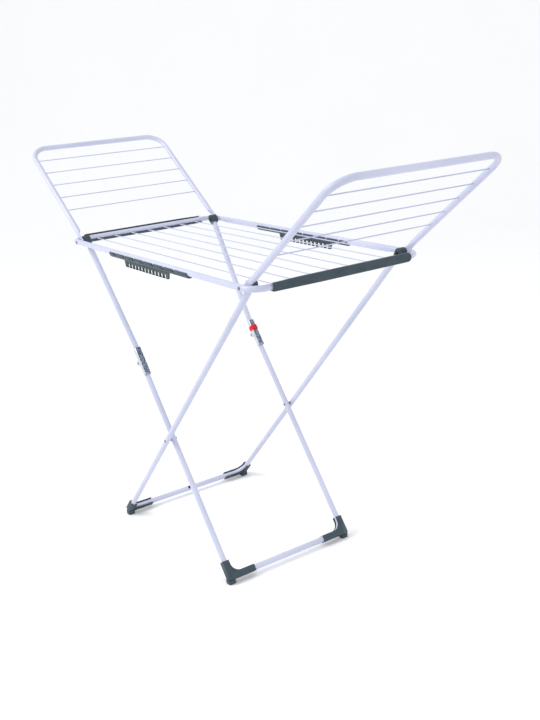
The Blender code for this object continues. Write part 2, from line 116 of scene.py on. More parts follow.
def noise(nodes, links, scale, detail=3.0, rough=0.5, stretch=(1.0, 1.0, 1.0)):
    """A noise texture in the piece's own coordinates."""
    coord = nodes.new("ShaderNodeTexCoord")
    mapping = nodes.new("ShaderNodeMapping")
    mapping.inputs["Scale"].default_value = stretch
    tex = nodes.new("ShaderNodeTexNoise")
    tex.inputs["Scale"].default_value = scale
    tex.inputs["Detail"].default_value = detail
    tex.inputs["Roughness"].default_value = rough
    links.new(coord.outputs["Object"], mapping.inputs["Vector"])
    links.new(mapping.outputs["Vector"], tex.inputs["Vector"])
    return tex


def ramp(nodes, links, source, stops):
    """A colour ramp from a factor, stops being (position, colour)."""
    node = nodes.new("ShaderNodeValToRGB")
    while len(node.color_ramp.elements) < len(stops):
        node.color_ramp.elements.new(0.5)
    for element, (position, colour) in zip(node.color_ramp.elements, stops):
        element.position = position
        element.color = (*colour, 1.0)
    links.new(source, node.inputs["Fac"])
    return node


def remap(nodes, links, source, low, high):
    """Map a 0 to 1 factor onto the range from low to high."""
    node = nodes.new("ShaderNodeMapRange")
    node.inputs["To Min"].default_value = low
    node.inputs["To Max"].default_value = high
    links.new(source, node.inputs["Value"])
    return node


def bump(nodes, links, source, strength, distance, previous=None):
    node = nodes.new("ShaderNodeBump")
    node.inputs["Strength"].default_value = strength
    node.inputs["Distance"].default_value = distance
    links.new(source, node.inputs["Height"])
    if previous is not None:
        links.new(previous.outputs["Normal"], node.inputs["Normal"])
    return node


def blend_colour(nodes, links, factor, first, second, mode="MIX"):
    node = nodes.new("ShaderNodeMix")
    node.data_type = "RGBA"
    node.blend_type = mode
    links.new(factor, node.inputs["Factor"])
    for socket, value in ((node.inputs["A"], first), (node.inputs["B"], second)):
        if isinstance(value, tuple):
            socket.default_value = (*value, 1.0)
        else:
            links.new(value, socket)
    return node


def enamel(name, light, shade, roughness):
    """Sprayed enamel on steel tube: soft colour drift, orange peel, fine dust and worn spots."""
    mat, nodes, links, shader = new_material(name)
    drift = noise(nodes, links, 7.0, 4.0)
    colour = ramp(nodes, links, drift.outputs["Fac"], [(0.30, shade), (0.70, light)])
    dust = noise(nodes, links, 140.0, 6.0, 0.65)
    specks = ramp(nodes, links, dust.outputs["Fac"], [(0.62, (0.0, 0.0, 0.0)), (0.74, (0.10, 0.10, 0.10))])
    soiled = blend_colour(nodes, links, specks.outputs["Color"], colour.outputs["Color"], (0.46, 0.46, 0.50))
    links.new(soiled.outputs["Result"], shader.inputs["Base Color"])
    cloud = noise(nodes, links, 38.0, 3.0)
    links.new(remap(nodes, links, cloud.outputs["Fac"], roughness - 0.06, roughness + 0.09).outputs["Result"],
              shader.inputs["Roughness"])
    peel = noise(nodes, links, 420.0, 2.0)
    first = bump(nodes, links, peel.outputs["Fac"], 0.16, 0.00025)
    sag = noise(nodes, links, 60.0, 1.0)
    links.new(bump(nodes, links, sag.outputs["Fac"], 0.10, 0.0006, first).outputs["Normal"],
              shader.inputs["Normal"])
    shader.inputs["Coat Weight"].default_value = 0.35
    shader.inputs["Coat Roughness"].default_value = 0.22
    shader.inputs["Specular IOR Level"].default_value = 0.45
    return mat


def moulded(name, dark, light, roughness, grain=0.28):
    """Moulded plastic: fine spark-eroded grain, slight flow marks and paler rubbed edges."""
    mat, nodes, links, shader = new_material(name)
    flow = noise(nodes, links, 24.0, 4.0, 0.55, (1.0, 1.0, 2.5))
    body = ramp(nodes, links, flow.outputs["Fac"], [(0.32, dark), (0.72, light)])
    geometry = nodes.new("ShaderNodeNewGeometry")
    edge = ramp(nodes, links, geometry.outputs["Pointiness"],
                [(0.52, (0.0, 0.0, 0.0)), (0.62, (0.5, 0.5, 0.5))])
    rubbed = tuple(min(1.0, c * 1.9 + 0.02) for c in light)
    worn = blend_colour(nodes, links, edge.outputs["Color"], body.outputs["Color"], rubbed)
    links.new(worn.outputs["Result"], shader.inputs["Base Color"])
    cloud = noise(nodes, links, 90.0, 3.0)
    links.new(remap(nodes, links, cloud.outputs["Fac"], roughness - 0.08, roughness + 0.10).outputs["Result"],
              shader.inputs["Roughness"])
    fine = noise(nodes, links, 1500.0, 2.0)
    links.new(bump(nodes, links, fine.outputs["Fac"], grain, 0.00012).outputs["Normal"],
              shader.inputs["Normal"])
    shader.inputs["Specular IOR Level"].default_value = 0.4
    return mat


def zinc(name, dark, light, roughness):
    """Zinc plated sheet: crystal spangle, rolling streaks and dull patches."""
    mat, nodes, links, shader = new_material(name)
    coord = nodes.new("ShaderNodeTexCoord")
    cells = nodes.new("ShaderNodeTexVoronoi")
    cells.inputs["Scale"].default_value = 420.0
    links.new(coord.outputs["Object"], cells.inputs["Vector"])
    tint = ramp(nodes, links, cells.outputs["Color"], [(0.25, dark), (0.75, light)])
    patch = noise(nodes, links, 160.0, 4.0)
    mixed = blend_colour(nodes, links, patch.outputs["Fac"], tint.outputs["Color"], dark)
    links.new(mixed.outputs["Result"], shader.inputs["Base Color"])
    links.new(remap(nodes, links, patch.outputs["Fac"], roughness - 0.08, roughness + 0.14).outputs["Result"],
              shader.inputs["Roughness"])
    streak = noise(nodes, links, 700.0, 3.0, 0.6, (1.0, 1.0, 0.15))
    links.new(bump(nodes, links, streak.outputs["Fac"], 0.15, 0.0001).outputs["Normal"],
              shader.inputs["Normal"])
    shader.inputs["Metallic"].default_value = 0.85
    return mat


WHITE = enamel("white_enamel", (0.560, 0.582, 0.725), (0.480, 0.502, 0.650), 0.34)
WIRE = enamel("coated_wire", (0.500, 0.525, 0.680), (0.420, 0.445, 0.610), 0.40)
SLATE = moulded("slate_plastic", (0.020, 0.036, 0.048), (0.036, 0.058, 0.073), 0.50)
BLACK = moulded("black_plug", (0.012, 0.013, 0.015), (0.022, 0.023, 0.026), 0.45)
RED = moulded("red_plastic", (0.560, 0.000, 0.004), (0.680, 0.001, 0.008), 0.55, 0.12)
ZINC = zinc("zinc_plate", (0.50, 0.53, 0.60), (0.80, 0.82, 0.88), 0.34)
# dark zinc for the bracket's web and the knee rivet: on the web it is painted shade, a dark reflection painted
# into the colour
ZINC_DARK = zinc("zinc_dark_painted_shade", (0.030, 0.055, 0.100), (0.60, 0.66, 0.78), 0.40)
RIVET = zinc("zinc_rivet", (0.16, 0.18, 0.24), (0.36, 0.39, 0.48), 0.34)


# ---------------------------------------------------------------- modelling helpers
def register(obj, body, nodes, mats):
    """Hand a finished piece to the frame: its body, the CAD nodes it stands for and materials."""
    obj.data.materials.clear()
    for mat in mats if isinstance(mats, (list, tuple)) else (mats,):
        obj.data.materials.append(mat)
    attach(obj, body)
    if nodes:
        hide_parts(*nodes)
    return obj


def from_bmesh(name, bm, sharp=38.0):
    bmesh.ops.recalc_face_normals(bm, faces=bm.faces)
    mesh = bpy.data.meshes.new(name)
    bm.to_mesh(mesh)
    bm.free()
    obj = bpy.data.objects.new(name, mesh)
    bpy.context.scene.collection.objects.link(obj)
    mesh.shade_smooth()
    mesh.set_sharp_from_angle(angle=math.radians(sharp))
    return obj


def rounded(points, radius, steps=12, closed=False):
    """Round the corners of a path with arcs."""
    out = []
    last = len(points) - 1
    for i, point in enumerate(points):
        if not closed and i in (0, last):
            out.append(Vector(point))
            continue
        point = Vector(point)
        into = (point - Vector(points[i - 1])).normalized()
        away = (Vector(points[(i + 1) % len(points)]) - point).normalized()
        turn = into.angle(away)
        start = point - into * radius * math.tan(turn / 2.0)
        inward = (away - into * into.dot(away)).normalized()
        for k in range(steps + 1):
            angle = turn * k / steps
            out.append(start + inward * radius * (1.0 - math.cos(angle)) + into * radius * math.sin(angle))
    return out


def refine(points, places):
    """Add points to a path at given distances from its start."""
    out = [points[0]]
    travelled = 0.0
    for a, b in zip(points, points[1:]):
        step = (b - a).length
        for place in sorted(places):
            if travelled + 1e-6 < place < travelled + step - 1e-6:
                out.append(a.lerp(b, (place - travelled) / step))
        travelled += step
        out.append(b)
    return out


def tube(name, points, normal, shape, sides=SIDES, closed=False):
    """Skin a path.  shape(s) gives the half sizes across and along the normal, and a shift across."""
    bm = bmesh.new()
    rings = []
    travelled = 0.0
    count = len(points)
    for i, point in enumerate(points):
        before = points[i - 1] if i or closed else point
        after = points[(i + 1) % count] if i < count - 1 or closed else point
        tangent = ((point - before).normalized() + (after - point).normalized()).normalized()
        if i and not (closed and i == 0):
            travelled += (point - points[i - 1]).length
        side = normal.cross(tangent).normalized()
        lift = tangent.cross(side).normalized()
        half_side, half_lift, shift = shape(travelled)
        centre = point + side * shift
        ring = []
        for k in range(sides):
            angle = 2.0 * math.pi * k / sides
            offset = side * half_side * math.cos(angle) + lift * half_lift * math.sin(angle)
            ring.append(bm.verts.new(centre + offset))
        rings.append(ring)
    pairs = list(zip(rings, rings[1:])) + ([(rings[-1], rings[0])] if closed else [])
    for a, b in pairs:
        for k in range(sides):
            n = (k + 1) % sides
            bm.faces.new((a[k], a[n], b[n], b[k]))
    if not closed:
        bm.faces.new(list(reversed(rings[0])))
        bm.faces.new(rings[-1])
    return from_bmesh(name, bm)


def plain(radius):
    return lambda s: (radius, radius, 0.0)


def length_of(points):
    return sum((b - a).length for a, b in zip(points, points[1:]))


def turned(name, start, direction, profile, sides=24):
    """A turned shape: profile holds (distance along the axis, radius)."""
    direction = Vector(direction).normalized()
    points = [Vector(start) + direction * d for d, _ in profile]
    bm = bmesh.new()
    side = direction.orthogonal().normalized()
    lift = direction.cross(side)
    rings = []
    for point, (_, radius) in zip(points, profile):
        ring = []
        for k in range(sides):
            angle = 2.0 * math.pi * k / sides
            ring.append(bm.verts.new(point + (side * math.cos(angle) + lift * math.sin(angle)) * radius))
        rings.append(ring)
    for a, b in zip(rings, rings[1:]):
        for k in range(sides):
            n = (k + 1) % sides
            bm.faces.new((a[k], a[n], b[n], b[k]))
    bm.faces.new(list(reversed(rings[0])))
    bm.faces.new(rings[-1])
    return from_bmesh(name, bm)


def arc(centre, radius, start, stop, steps):
    out = []
    for i in range(steps + 1):
        angle = math.radians(start + (stop - start) * i / steps)
        out.append((centre[0] + radius * math.cos(angle), centre[1] + radius * math.sin(angle)))
    return out


def axes_matrix(origin, x_axis, y_axis):
    x_axis, y_axis = Vector(x_axis).normalized(), Vector(y_axis).normalized()
    z_axis = x_axis.cross(y_axis)
    rows = [(x_axis[i], y_axis[i], z_axis[i], origin[i]) for i in range(3)]
    return Matrix([*rows, (0.0, 0.0, 0.0, 1.0)])


def slab(name, outline, half, place):
    """A closed outline, extruded half its thickness each way and set in place."""
    bm = bmesh.new()
    bottom = [bm.verts.new(place @ Vector((x, y, -half))) for x, y in outline]
    top = [bm.verts.new(place @ Vector((x, y, half))) for x, y in outline]
    bm.faces.new(list(reversed(bottom)))
    bm.faces.new(top)
    for i in range(len(outline)):
        n = (i + 1) % len(outline)
        bm.faces.new((bottom[i], bottom[n], top[n], top[i]))
    return from_bmesh(name, bm)


def apply_modifiers(obj):
    """Make the modifiers' result the piece's own mesh."""
    bpy.context.view_layer.update()
    graph = bpy.context.evaluated_depsgraph_get()
    mesh = bpy.data.meshes.new_from_object(obj.evaluated_get(graph))
    obj.modifiers.clear()
    obj.data = mesh
    mesh.shade_smooth()
    mesh.set_sharp_from_angle(angle=math.radians(38.0))
    return obj


def cut(obj, tools, operation="DIFFERENCE"):
    for tool in tools:
        mod = obj.modifiers.new("cut", "BOOLEAN")
        mod.operation = operation
        mod.solver = "EXACT"
        mod.object = tool
    apply_modifiers(obj)
    for tool in tools:
        bpy.data.objects.remove(tool, do_unlink=True)
    return obj


def soften(obj, width, segments=2, angle=32.0):
    """Round the hard edges."""
    weld = obj.modifiers.new("weld", "WELD")
    weld.merge_threshold = 0.00002
    mod = obj.modifiers.new("round", "BEVEL")
    mod.width = width
    mod.segments = segments
    mod.limit_method = "ANGLE"
    mod.angle_limit = math.radians(angle)
    mod.use_clamp_overlap = True
    mod.harden_normals = False
    return apply_modifiers(obj)


def join(name, pieces):
    """Merge pieces of one material into one object."""
    bm = bmesh.new()
    for piece in pieces:
        bm.from_mesh(piece.data)
        bpy.data.objects.remove(piece, do_unlink=True)
    mesh = bpy.data.meshes.new(name)
    bm.to_mesh(mesh)
    bm.free()
    obj = bpy.data.objects.new(name, mesh)
    bpy.context.scene.collection.objects.link(obj)
    mesh.shade_smooth()
    mesh.set_sharp_from_angle(angle=math.radians(38.0))
    return obj


def xz(flat, y):
    return Vector((flat[0], y, flat[1]))


UP = Vector((0.0, 0.0, 1.0))
ACROSS = Vector((0.0, 1.0, 0.0))


# ---------------------------------------------------------------- drying frame
def make_frame():
    corners = [Vector((sx * FRAME_X, sy * FRAME_Y, FRAME_Z)) for sx, sy in ((-1, -1), (1, -1), (1, 1), (-1, 1))]
    path = rounded(corners, FRAME_BEND, 18, closed=True)
    ring = tube("frame_ring", path, UP, plain(TUBE_R), closed=True)
    register(ring, "frame", ["frame_long_front", "frame_long_back", "frame_end_left", "frame_end_right"],
             WHITE)


def welded_wire(name, points, body, node, normal):
    """A drying wire whose ends are pressed and welded to the tubes."""
    total = length_of(points)
    places = [0.0012, 0.0025, 0.0040, 0.0070]
    places += [total - p for p in places]
    path = refine(points, places)

    def shape(s):
        from_end = min(s, total - s)
        bead = max(0.0, 1.0 - from_end / 0.0045)
        radius = WIRE_R * (1.0 + 0.85 * bead * bead)
        return radius, radius, 0.0

    wire = tube(name, path, normal, shape, WIRE_SIDES)
    register(wire, body, [node], WIRE)


def make_frame_wires():
    reach = FRAME_X - TUBE_R * 0.80
    for i in range(2, 9):
        y = middle("frame_wire_%d" % i, 1)
        ends = [Vector((-reach, y, WIRE_Z)), Vector((reach, y, WIRE_Z))]
        welded_wire("drying_wire_%d" % i, ends, "frame", "frame_wire_%d" % i, UP)
    for side, number in ((-1, 1), (1, 9)):
        node = "frame_wire_%d" % number
        x_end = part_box(node)[1][0]
        y_run = side * (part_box("frame_wire_9")[0][1] + WIRE_R)
        y_end = side * (FRAME_Y - TUBE_R - WIRE_R * 0.4)
        half = [Vector((x_end, y_end, WIRE_Z)), Vector((x_end - 0.010, y_end, WIRE_Z)),
                Vector((x_end - 0.030, y_run, WIRE_Z))]
        path = half + [Vector((-p.x, p.y, p.z)) for p in reversed(half)]
        welded_wire("drying_wire_%d" % number, rounded(path, 0.014, 5), "frame", node, UP)


def make_pins():
    """Pivot rivets with a domed head outside and a pressed ring head inside."""
    for sx, end in ((-1, "left"), (1, "right")):
        for sy, word in ((-1, "front"), (1, "back")):
            node = "pivot_pin_%s_%s" % (end, word)
            outside = FRAME_Y + TUBE_R
            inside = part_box("pivot_pin_left_back")[0][1]
            profile = [(0.0, 0.0026), (0.0001, 0.0036), (0.0009, 0.0052), (0.0018, 0.0056), (0.0024, 0.0054),
                       (0.0026, 0.0029), (outside - inside - 0.0004, 0.0029),
                       (outside - inside - 0.0002, 0.0050),
                       (outside - inside + 0.0006, 0.0049), (outside - inside + 0.0014, 0.0036),
                       (outside - inside + 0.0019, 0.0012)]
            pin = turned(node + "_rivet", (sx * PIN_X, sy * inside, FRAME_Z), (0, sy, 0), profile)
            register(pin, "frame", [node], RIVET)


# ---------------------------------------------------------------- comb rails and end covers
RAIL_HALF = 0.226
COMB_SHIFT = 0.0165
COMB_TEETH = 12
COMB_PITCH = 0.0195
COMB_LOW = -0.0325


def make_rails():
    groove = TUBE_R + 0.0002
    outer = [(-0.0102, 0.0015), (-0.0104, -0.0030), (-0.0098, -0.0068), (-0.0078, -0.0104), (-0.0045, -0.0130)]
    section = outer + [(-y, z) for y, z in reversed(outer)] + arc((0.0, 0.0), groove, 10, -190, 24)
    for side, word in ((-1, "front"), (1, "back")):
        node = "comb_rail_" + word
        place = axes_matrix((0.0, side * FRAME_Y, FRAME_Z), (0, 1, 0), (0, 0, 1))
        rail = slab(node + "_shell", section, RAIL_HALF, place)
        tools = []
        for i in range(-3, 4):
            x = side * COMB_SHIFT + i * 0.0575
            outline = [(x - 0.0040, -0.0055), (x + 0.0040, -0.0055), (x + 0.0040, 0.006), (x - 0.0040, 0.006)]
            tools.append(slab("notch", outline, 0.02,
                              axes_matrix((0.0, side * FRAME_Y, FRAME_Z), (1, 0, 0), (0, 0, 1))))
        cut(rail, tools)
        soften(rail, 0.0005, 2)
        edge = [(-0.131, -0.0118), (-0.1262, COMB_LOW + 0.0023)]
        edge += arc((-0.1240, COMB_LOW + 0.0023), 0.0023, 180, 270, 4)
        for i in range(COMB_TEETH):
            centre = (i - (COMB_TEETH - 1) / 2.0) * COMB_PITCH
            edge += arc((centre, COMB_LOW + 0.0062), 0.0070, 243, -63, 20)
        edge += arc((0.1240, COMB_LOW + 0.0023), 0.0023, 270, 360, 4) + [(0.131, -0.0118)]
        comb_place = axes_matrix((side * COMB_SHIFT, side * FRAME_Y, FRAME_Z), (1, 0, 0), (0, 0, 1))
        comb = soften(slab(node + "_comb", edge, 0.0021, comb_place), 0.0005, 2, 50.0)
        piece = join(node + "_moulding", [rail, comb])
        register(piece, "frame", [node], SLATE)


def make_covers():
    out_x = FRAME_X + TUBE_R + 0.004
    in_x = FRAME_X - TUBE_R - 0.004
    low, high = FRAME_Z - 0.0115, FRAME_Z + 0.0119
    wall = 0.0026
    hook = out_x - 0.0085
    lip_top = FRAME_Z - 0.0064
    section = [(out_x, low + 0.0020), (out_x, high - 0.0030), (out_x - 0.0009, high - 0.0009),
               (out_x - 0.0030, high),
               (hook + 0.0006, high), (hook, high - 0.0006), (hook, high - wall),
               (out_x - wall - 0.0010, high - wall),
               (out_x - wall, high - wall - 0.0010), (out_x - wall, low + wall), (in_x + wall, low + wall),
               (in_x + wall, lip_top), (in_x, lip_top), (in_x, low + 0.0006), (in_x + 0.0006, low),
               (out_x - 0.0020, low)]
    plain_y, round_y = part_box("end_cover_right")[0][1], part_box("end_cover_right")[1][1]
    side_view = [(plain_y, FRAME_Z - 0.0095), (plain_y, FRAME_Z + 0.0104)]
    side_view += [(plain_y + 0.084 * t, FRAME_Z + 0.0104 + 0.0016 * (3.0 * t * t - 2.0 * t ** 3))
                  for t in (0.2, 0.4, 0.6, 0.8, 1.0)]
    side_view += arc((round_y - 0.0118, FRAME_Z + 0.0002), 0.0118, 90, -82, 18)
    side_view += [(-0.05, FRAME_Z - 0.0117)]
    for side, word in ((-1, "left"), (1, "right")):
        node = "end_cover_" + word
        cover = slab(node + "_shell", section, 0.24, axes_matrix((0, 0, 0), (side, 0, 0), (0, 0, 1)))
        trim = slab("trim", side_view, 0.03, axes_matrix((side * FRAME_X, 0, 0), (0, side, 0), (0, 0, 1)))
        cut(cover, [trim], "INTERSECT")
        soften(cover, 0.0005, 2)
        register(cover, "frame", [node], SLATE)


# ---------------------------------------------------------------- wings
def make_wing(side, word):
    """A wing is two bent tubes, swaged together in the middle of the outer edge, with five wires."""
    body = "wing_" + word
    along = Vector((side * math.cos(WING_ANGLE), 0.0, math.sin(WING_ANGLE)))
    plane_up = Vector((-side * math.sin(WING_ANGLE), 0.0, math.cos(WING_ANGLE)))
    pin = Vector((side * PIN_X, 0.0, FRAME_Z))
    eye_r, flat_half, blend_start, blend_end = 0.0095, 0.0020, 0.024, 0.050

    for sy, edge in ((-1, "front"), (1, "back")):
        corner = pin + along * WING_LEN + ACROSS * sy * WING_Y
        finish = 0.0 if sy < 0 else -0.006
        points = [pin - along * eye_r + ACROSS * sy * WING_Y, corner,
                  pin + along * WING_LEN + ACROSS * sy * finish]
        path = rounded(points, WING_BEND, 16)
        near_eye = [eye_r * (1.0 - math.cos(math.radians(a))) for a in range(10, 91, 10)]
        near_blend = [eye_r + blend_start + (blend_end - blend_start) * k / 10.0 for k in range(11)]
        total = length_of(path)
        collar = [total - p for p in (0.0040, 0.0052, 0.0070, 0.0085, 0.0100)] if sy > 0 else [total - 0.0006]
        path = refine(path, near_eye + near_blend + collar)
        outward = side * sy

        def shape(s):
            r = s - eye_r
            t = min(1.0, max(0.0, (r - blend_start) / (blend_end - blend_start)))
            t = t * t * (3.0 - 2.0 * t)
            if r < 0.0:
                wide = math.sqrt(max(eye_r ** 2 - r ** 2, 0.0018 ** 2))
            else:
                pull = min(1.0, r / 0.014)
                wide = eye_r + (0.0084 - eye_r) * pull * pull * (3.0 - 2.0 * pull)
            thick = flat_half + (TUBE_R - flat_half) * t
            wide = wide + (TUBE_R - wide) * t
            if sy > 0:
                left = total - s
                step = min(1.0, max(0.0, (0.0095 - left) / 0.0025))
                thick -= 0.0009 * step
                wide -= 0.0009 * step
            elif total - s < 0.0004:
                thick -= 0.0005
                wide -= 0.0005
            return thick, wide, (EYE_Y - WING_Y) * (1.0 - t) * outward * side

        half = tube("%s_tube_%s" % (body, edge), path, plane_up * side, lambda s: shape(s))
        nodes = ["%s_side_%s" % (body, edge)] + (["%s_outer" % body] if sy < 0 else [])
        register(half, body, nodes, WHITE)

    reach = WING_Y - TUBE_R * 0.80
    for number in range(1, 6):
        node = "%s_wire_%d" % (body, number)
        at = Vector((middle(node, 0), 0.0, middle(node, 2)))
        ends = [at - ACROSS * reach, at + ACROSS * reach]
        welded_wire("%s_line_%d" % (body, number), ends, body, node, plane_up)


# ---------------------------------------------------------------- legs
def corner_point(origin, direction):
    return origin + direction * ((FOOT_AXIS_Z - origin.y) / direction.y)


def make_cap(node, pin, direction, side, body):
    """Moulded tube end: a round eye on the rivet, a plug in the tube and the plug's barb below it."""
    along = Vector((direction.x, 0.0, direction.y))
    centre = xz(pin, 0.0)
    low = TUBE_TOP - 0.0004
    outline = [(low, 0.0078)] + arc((-0.0050, 0.0), 0.0116, 60, 300, 26) + [(low, -0.0078)]
    half = (CAP_OUT_Y - CAP_IN_Y) / 2.0
    across = Vector((-along.z, 0.0, along.x))
    mid = centre + ACROSS * side * (CAP_IN_Y + CAP_OUT_Y) / 2.0
    cap = slab(node + "_body", outline, half - 0.0002, axes_matrix(mid, along, across))
    axis = centre + ACROSS * side * LEG_B_Y
    hole = turned("hole", centre + ACROSS * side * 0.20, ACROSS * side, [(0.0, 0.0033), (0.05, 0.0033)])
    seat = turned("seat", centre + ACROSS * side * (CAP_IN_Y - 0.004), ACROSS * side,
                  [(0.0, 0.0057), (0.0070, 0.0057)])
    cut(cap, [hole, seat])
    soften(cap, 0.0011, 3, 40.0)
    plug = turned("plug", axis + along * 0.0092, along, [(0.0, 0.0072), (0.0006, 0.0083), (0.0029, 0.0083)])
    # the barb stands out of the tube's wall; the window it springs through isn't modelled
    barb_out = [(0.0150, -0.0062), (0.0150, 0.0062), (0.0178, 0.0040), (0.0215, 0.0009), (0.0215, -0.0009),
                (0.0178, -0.0040)]
    barb_mid = centre + ACROSS * side * (LEG_B_Y - LEG_R + 0.0014)
    barb = slab("barb", barb_out, 0.0022, axes_matrix(barb_mid, along, across))
    soften(barb, 0.0005, 2, 30.0)
    piece = join(node + "_moulding", [cap, plug, barb])
    register(piece, body, [node], SLATE)


def make_foot(node, corner, up, side, half, body):
    """A moulded shoe on the bend of the leg: two side walls, open on the inside, with a floor pad."""
    lift = Vector((up.x, 0.0, up.y))
    inward = Vector((0.0, -side, 0.0))
    origin = xz(corner, side * half)
    place = axes_matrix(origin, lift, inward)
    normal = lift.cross(inward)
    wide = FOOT_HALF
    sweep = 0.026
    outline = [(FOOT_UP, -wide), (FOOT_UP, wide)]
    outline += arc((wide + sweep, wide + sweep), sweep, 270, 180, 14)
    outline += [(wide, FOOT_LONG), (-wide, FOOT_LONG), (-wide, 0.0100)]
    outline += arc((-wide + 0.0058, -wide + 0.0058), 0.0058, 180, 270, 6)
    foot = slab(node + "_body", outline, wide, place)
    pad_r = 0.0042
    pad_outline = []
    for sx, sy, start in ((1, 1, 0), (-1, 1, 90), (-1, -1, 180), (1, -1, 270)):
        pad_outline += arc((sx * (0.0112 - pad_r), sy * (0.0112 - pad_r)), pad_r, start, start + 90, 5)
    pad = slab("pad", pad_outline, 0.0070, axes_matrix((corner.x, origin.y, 0.0071), (1, 0, 0), (0, 1, 0)))
    soften(pad, 0.0018, 3, 30.0)
    cut(foot, [pad], "UNION")
    inside = LEG_R + 0.0002
    path = rounded([place @ Vector((0.13, 0.0, 0.0)), place @ Vector((0.0, 0.0, 0.0)),
                    place @ Vector((0.0, 0.13, 0.0))], LEG_BEND, 12)
    bore = tube("bore", path, normal, plain(inside))
    slot = [(0.14, 0.0)] + arc((LEG_BEND, LEG_BEND), LEG_BEND, 270, 180, 12) + [(0.0, 0.14), (0.14, 0.14)]
    opening = slab("opening", slot, inside - 0.0003, place)
    cut(foot, [bore, opening])
    soften(foot, 0.0006, 2, 40.0)
    register(foot, body, [node], SLATE)


def make_leg_b():
    corner = corner_point(PIN_B, dir_b)
    up = -dir_b
    normal = Vector((dir_b.y, 0.0, -dir_b.x))
    top = PIN_B + dir_b * TUBE_TOP
    for sy, word in ((-1, "front"), (1, "back")):
        make_cap("leg_b_cap_" + word, PIN_B, dir_b, sy, "leg_b")
        make_foot("leg_b_foot_" + word, corner, up, sy, LEG_B_Y, "leg_b")
        end_y = -0.0004 if sy < 0 else 0.0004
        path = rounded([xz(top, sy * LEG_B_Y), xz(corner, sy * LEG_B_Y), xz(corner, end_y)], LEG_BEND, 16)
        total = length_of(path)
        path = refine(path, [total - 0.0006])
        nodes = ["leg_b_side_" + word] + (["leg_b_cross"] if sy < 0 else [])
        ease = lambda s, total=total: (LEG_R - (0.0005 if total - s < 0.0004 else 0.0),) * 2 + (0.0,)
        half = tube("leg_b_tube_" + word, path, normal, ease)
        register(half, "leg_b", nodes, WHITE)
    face = Vector((0.72, 0.0, 0.69)).normalized()
    centre = xz(corner, 0.0) + face * (LEG_R - 0.0006)
    profile = [(0.0, 0.0052), (0.0014, 0.0052), (0.0022, 0.0046), (0.0026, 0.0030), (0.0020, 0.0024),
               (0.0012, 0.0018)]
    screw = turned("leg_b_joint_plug", centre, face, profile)
    register(screw, "leg_b", ["leg_b_joint_screw"], BLACK)
    sleeve_path = [xz(corner, -0.015), xz(corner, -0.0142), xz(corner, 0.0142), xz(corner, 0.015)]
    sleeve = tube("leg_b_joint_sleeve", sleeve_path, normal,
                  lambda s: (LEG_R + (0.0001 if s < 0.0004 or s > 0.0296 else 0.0005),) * 2 + (0.0,))
    register(sleeve, "leg_b", [], WHITE)


def crossing_point():
    """Where the two legs cross, seen from the side."""
    a, b = PIN_B, LEG_B_TOE
    c, d = KNEE_AXIS, LEG_A_TOE
    r, s = b - a, d - c
    t = ((c.x - a.x) * s.y - (c.y - a.y) * s.x) / (r.x * s.y - r.y * s.x)
    return a + r * t


def make_crossing():
    """The rivets at the legs' crossing: a domed head outside, a spacer between the tubes."""
    point = crossing_point()
    for sy, word in ((-1, "front"), (1, "back")):
        gap_in, gap_out = LEG_A_Y + LEG_R + 0.0004, LEG_B_Y - LEG_R + 0.001
        spacer = turned("spacer", xz(point, sy * gap_in), (0, sy, 0),
                        [(0.0, 0.0048), (0.0003, 0.0052), (gap_out - gap_in, 0.0052)])
        out = LEG_B_Y + LEG_R - 0.0006
        head = turned("head", xz(point, sy * out), (0, sy, 0),
                      [(0.0, 0.0046), (0.0006, 0.0046), (0.0012, 0.0040), (0.0017, 0.0026), (0.0018, 0.0008)])
        register(join("leg_b_crossing_rivet_" + word, [spacer, head]), "leg_b", [], RIVET)
        inner = LEG_A_Y - LEG_R + 0.0006
        head = turned("leg_a_crossing_rivet_" + word, xz(point, sy * inner), (0, -sy, 0),
                      [(0.0, 0.0046), (0.0008, 0.0046), (0.0015, 0.0040), (0.0021, 0.0026), (0.0022, 0.0008)])
        register(head, "leg_a_lower", [], RIVET)


BRACKET_HALF, BRACKET_IN, BRACKET_T = 0.045, 0.0088, 0.0013
WEB_IN = 0.0105


def knee_matrix(side):
    down = Vector((dir_low.x, 0.0, dir_low.y))
    face = Vector((-down.z, 0.0, down.x))
    return axes_matrix(xz(KNEE_AXIS, side * LEG_A_Y), down, face)


